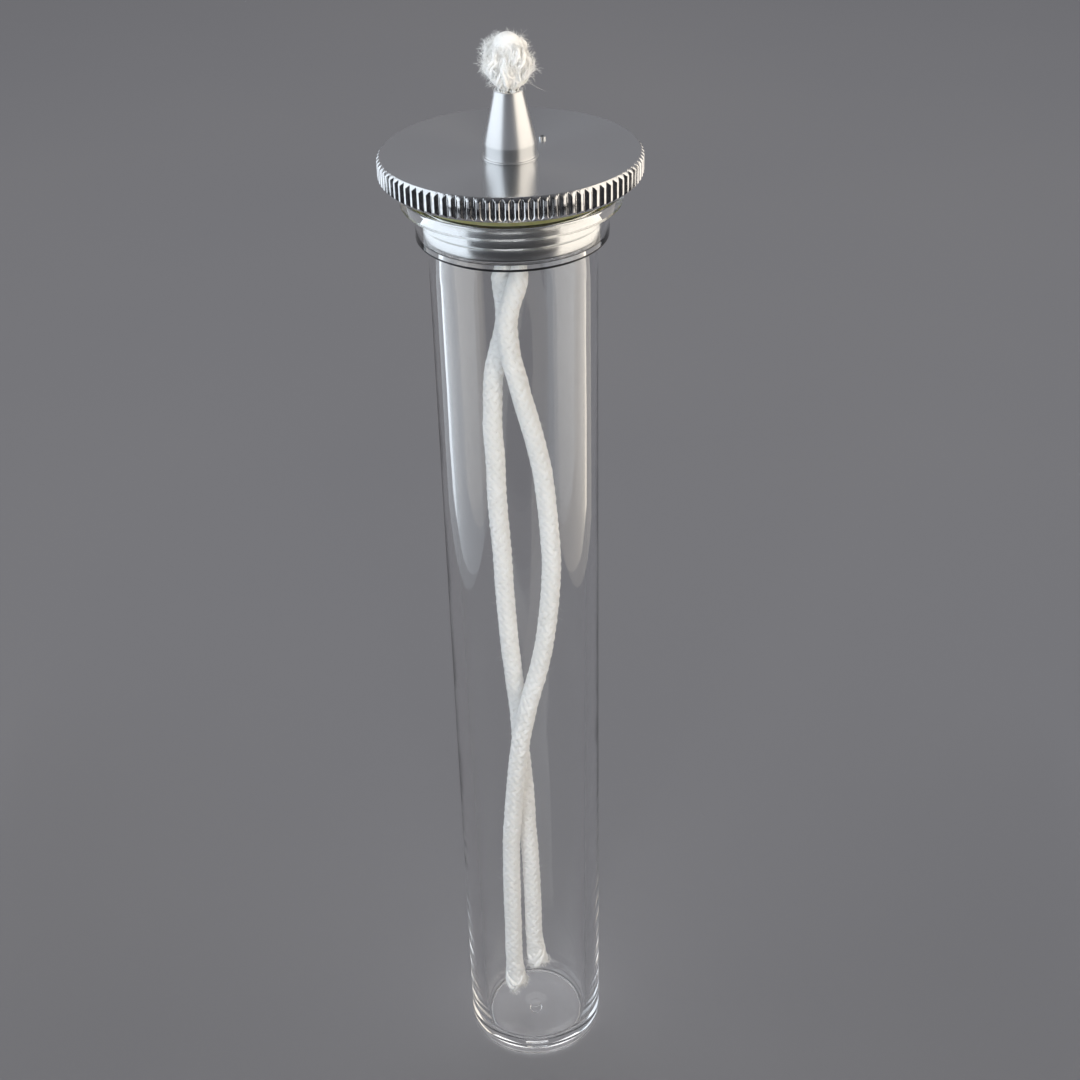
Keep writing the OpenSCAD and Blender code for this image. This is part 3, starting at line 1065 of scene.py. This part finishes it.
def cotton_yarn():
    """Soft spun cotton: fine fibres laid at a slant along each yarn."""
    look = Look("cotton_yarn")
    look.set(Sheen_Weight=0.25, Sheen_Roughness=0.5, Subsurface_Weight=0.25, Subsurface_Scale=0.0012)
    look.set(Subsurface_Radius=(1.0, 0.9, 0.8), Specular_IOR_Level=0.2)
    uv = look.add("ShaderNodeUVMap", uv_map="along")
    apart = look.add("ShaderNodeSeparateXYZ")
    look.join(uv.outputs[0], apart.inputs[0])
    around, along = apart.outputs[0], apart.outputs[1]
    slant = look.maths("ADD", look.maths("MULTIPLY", around, 14.0), look.maths("MULTIPLY", along, 3.0))
    joined = look.add("ShaderNodeCombineXYZ")
    look.join(slant, joined.inputs[0])
    look.join(look.maths("MULTIPLY", along, 0.5), joined.inputs[1])
    fibres = look.noise(joined.outputs[0], 1.0, 5.0, 0.65)
    soil = look.noise(look.place(), 130.0, 3.0)
    tone = look.maths("ADD", look.maths("MULTIPLY", fibres, 0.6), look.maths("MULTIPLY", soil, 0.4))
    soiled, plain, bright = (0.78, 0.765, 0.73), (0.89, 0.88, 0.86), (0.94, 0.935, 0.925)
    colours = look.colours(tone, (0.3, soiled), (0.5, plain), (0.7, bright))
    look.feed("Base Color", colours)
    look.feed("Roughness", look.spread(fibres, 0.8, 0.98))
    look.feed("Normal", look.bump(fibres, 0.6, 0.0001))
    return look


def cotton_fibre():
    """Single loose fibres, paler and a little glossier than the yarn."""
    look = Look("cotton_fibre")
    look.set(Sheen_Weight=0.3, Sheen_Roughness=0.4, Specular_IOR_Level=0.3)
    shade = look.noise(look.place(), 900.0, 2.0)
    colours = look.colours(shade, (0.3, (0.80, 0.79, 0.76)), (0.7, (0.93, 0.93, 0.92)))
    look.feed("Base Color", colours)
    look.feed("Roughness", look.spread(shade, 0.6, 0.9))
    return look


ALUMINIUM = (0.80, 0.81, 0.82)
POLISHED = (0.86, 0.86, 0.86)
turned_metal("turned_aluminium", ALUMINIUM, 0.26, 0.5, marks=0.5, mark_scale=2600).on(cap)
knurled_metal().on(cap)
turned_metal("satin_aluminium", ALUMINIUM, 0.22, 0.9, marks=0).on(cap)
turned_metal("polished_aluminium", POLISHED, 0.34, 0.2, marks=0.06).on(nozzle, nut)
clear_plastic().on(tube)
# Painted shade ring on the collar's ledge faces
painted_shade_ring().on(tube)
olive_rubber().on(gasket)
cotton_yarn().on(strand_long, strand_short, neck, tuft)
cotton_fibre().on(strand_long, strand_short, neck, tuft)

# ---------------------------------------------------------------- floor and light

FLOOR_HALF = 4.0
CARD_LOW = 0.03
FULL_GLOW_ABOVE = 0.1
FOOT_GLOW = 0.62


def make_floor():
    """A plain grey floor, far wider than any view of the object."""
    look = Look("floor")
    look.set(Specular_IOR_Level=0.2)
    cloud = look.noise(look.place(), 2.2, 3.0)
    colours = look.colours(cloud, (0.3, (0.365, 0.365, 0.39)), (0.7, (0.4, 0.395, 0.41)))
    look.feed("Base Color", colours)
    look.feed("Roughness", look.spread(cloud, 0.75, 0.9))
    corners = [(x * FLOOR_HALF, y * FLOOR_HALF, 0) for x, y in ((-1, -1), (1, -1), (1, 1), (-1, 1))]
    floor = plain_object("floor", corners, [(0, 1, 2, 3)])
    look.on(floor)
    return floor


def panel_light(name, place, target, size, power, colour=(1, 1, 1)):
    """A soft rectangular lamp that faces the target. The camera doesn't see it."""
    data = bpy.data.lights.new(name, "AREA")
    data.shape = "RECTANGLE"
    data.size, data.size_y = size
    data.energy = power
    data.color = colour
    lamp = bpy.data.objects.new(name, data)
    away = Matrix.Translation(place).translation - Matrix.Translation(target).translation
    lamp.matrix_world = Matrix.Translation(place) @ away.to_track_quat("Z", "Y").to_matrix().to_4x4()
    lamp.visible_camera = False
    bpy.context.scene.collection.objects.link(lamp)
    return lamp


def not_straight_through(look):
    """1 for every ray but one that comes through the clear tube with no mirror
    bounce on its way, which gives 0."""
    path = look.add("ShaderNodeLightPath")
    seen = look.add("ShaderNodeMath", operation="ADD", use_clamp=True)
    look.join(look.maths("SUBTRACT", 1.0, path.outputs["Is Transmission Ray"]), seen.inputs[0])
    look.join(path.outputs["Glossy Depth"], seen.inputs[1])
    return seen.outputs[0]


def card(name, corners, glow, lights=False):
    """A plain glowing card that the camera doesn't see, and no more does a look
    straight through the tube. One that lights falls on the pieces, not the floor."""
    piece = plain_object(name, corners, [(0, 1, 2, 3)])
    look = Look(name)
    mix = look.add("ShaderNodeMixShader")
    look.join(not_straight_through(look), mix.inputs[0])
    look.join(look.add("ShaderNodeBsdfTransparent").outputs[0], mix.inputs[1])
    emission = look.add("ShaderNodeEmission", Color=(*glow, 1))
    look.join(emission.outputs[0], mix.inputs[2])
    look.join(mix.outputs[0], look.output.inputs["Surface"])
    look.on(piece)
    piece.visible_camera = False
    piece.visible_shadow = False
    if lights:
        apart = look.add("ShaderNodeSeparateXYZ")
        look.join(look.place(), apart.inputs[0])
        fade = look.spread(apart.outputs[2], FOOT_GLOW, 1.0, CARD_LOW, FULL_GLOW_ABOVE)
        look.join(fade, emission.inputs["Strength"])
        piece.light_linking.receiver_collection = lit_pieces
    else:
        piece.visible_diffuse = False


def upright(side, near, far, low, high):
    """Corners of a card that stands beside the object, square to X."""
    return [(side, near, low), (side, far, low), (side, far, high), (side, near, high)]


def make_world():
    """An even grey room that is darker in front of the object than behind it."""
    world = bpy.data.worlds.new("studio")
    bpy.context.scene.world = world
    world.use_nodes = True
    tree = world.node_tree
    place = tree.nodes.new("ShaderNodeTexCoord")
    apart = tree.nodes.new("ShaderNodeSeparateXYZ")
    ramp = tree.nodes.new("ShaderNodeValToRGB")
    reach = tree.nodes.new("ShaderNodeMapRange")
    reach.inputs["From Min"].default_value = -1.0
    tree.links.new(place.outputs["Generated"], apart.inputs[0])
    tree.links.new(apart.outputs[1], reach.inputs["Value"])
    tree.links.new(reach.outputs["Result"], ramp.inputs["Fac"])
    tree.links.new(ramp.outputs["Color"], tree.nodes["Background"].inputs["Color"])
    ramp.color_ramp.elements[0].position = 0.2
    ramp.color_ramp.elements[0].color = (0.015, 0.017, 0.022, 1)
    ramp.color_ramp.elements[1].position = 0.9
    ramp.color_ramp.elements[1].color = (0.24, 0.24, 0.255, 1)
    tree.nodes["Background"].inputs["Strength"].default_value = 1.0


def gathered(name, *pieces):
    """A collection of the pieces that a light falls on."""
    collection = bpy.data.collections.new(name)
    for piece in pieces:
        collection.objects.link(piece)
    return collection


CLEAR_BOUNCES = 32
CARD_TOP = 0.45
HIGH_CARD_LOW = 0.15
SIDE = 0.15
COOL = (1.12, 1.22, 1.32)
WARM = (1.38, 1.27, 1.12)
COOL_WICK = (0.78, 0.9, 1.0)
WARM_WICK = (1.0, 0.9, 0.76)
PLAIN_WICK = (1.0, 1.0, 1.0)
WICK_AIM = (0, 0, 0.2)
WICK_PANEL = (0.16, 0.16)
cords = (strand_long, strand_short, neck)
hard_pieces = (tube, gasket, cap, nozzle, nut)
lit_pieces = gathered("lit_pieces", *cords, tuft, *hard_pieces)
tuft_only = gathered("tuft_only", tuft)
cord_pieces = gathered("cord_pieces", *cords)
cotton_pieces = gathered("cotton_pieces", *cords, tuft)
all_but_tuft = gathered("all_but_tuft", *cords, *hard_pieces, make_floor())
make_world()
card("left_lamp", upright(-SIDE, -0.107, 0.12, CARD_LOW, CARD_TOP), COOL, lights=True)
card("right_lamp", upright(SIDE, -0.1, 0.1, CARD_LOW, CARD_TOP), WARM, lights=True)
card("left_high_card", upright(-SIDE, -0.2, -0.107, HIGH_CARD_LOW, CARD_TOP), COOL)
card("right_high_card", upright(SIDE, -0.19, -0.1, HIGH_CARD_LOW, CARD_TOP), WARM)
fill_lamp = panel_light("fill_lamp", (-0.1, -1.1, 0.8), (0, 0, 0.12), (0.8, 0.5), 3.4)
fill_lamp.visible_glossy = False
top_lamp = panel_light("top_lamp", (0, 0.45, 1.5), (0, 0.45, 0.12), (1.6, 1.2), 9.0)
top_lamp.visible_glossy = False
top_lamp.light_linking.receiver_collection = all_but_tuft
for name, place, power, colour, receivers in (
    ("wick_lamp", (-0.08, -0.38, 0.3), 0.62, PLAIN_WICK, tuft_only),
    ("high_wick_lamp", (0, 0.1, 0.6), 0.12, PLAIN_WICK, tuft_only),
    ("back_wick_lamp", (0, 0.42, 0.32), 0.8, PLAIN_WICK, cotton_pieces),
    ("cool_tuft_lamp", (-0.24, -0.17, 0.26), 0.54, COOL_WICK, tuft_only),
    ("warm_tuft_lamp", (0.24, -0.17, 0.26), 0.6, WARM_WICK, tuft_only),
    ("cool_cord_lamp", (-0.2, -0.28, 0.28), 0.8, COOL_WICK, cord_pieces),
    ("warm_cord_lamp", (0.2, -0.28, 0.28), 0.84, WARM_WICK, cord_pieces),
):
    lamp = panel_light(name, place, WICK_AIM, WICK_PANEL, power, colour)
    lamp.visible_glossy = False
    lamp.visible_transmission = False
    lamp.light_linking.receiver_collection = receivers
dark_strip = [(-0.5, -0.75, 0.001), (0.5, -0.75, 0.001), (0.5, -0.2, 0.001), (-0.5, -0.2, 0.001)]
card("dark_floor", dark_strip, (0.01, 0.01, 0.012))
card("front_wall", [(-1, -1, 0), (1, -1, 0), (1, -1, 0.5), (-1, -1, 0.5)], (0.22, 0.23, 0.255))
bpy.context.scene.view_settings.view_transform = "Standard"
# Light that is caught in the thick clear floor needs many bounces to come out
cycles = bpy.context.scene.cycles
cycles.max_bounces = CLEAR_BOUNCES
cycles.glossy_bounces = CLEAR_BOUNCES
cycles.transmission_bounces = CLEAR_BOUNCES
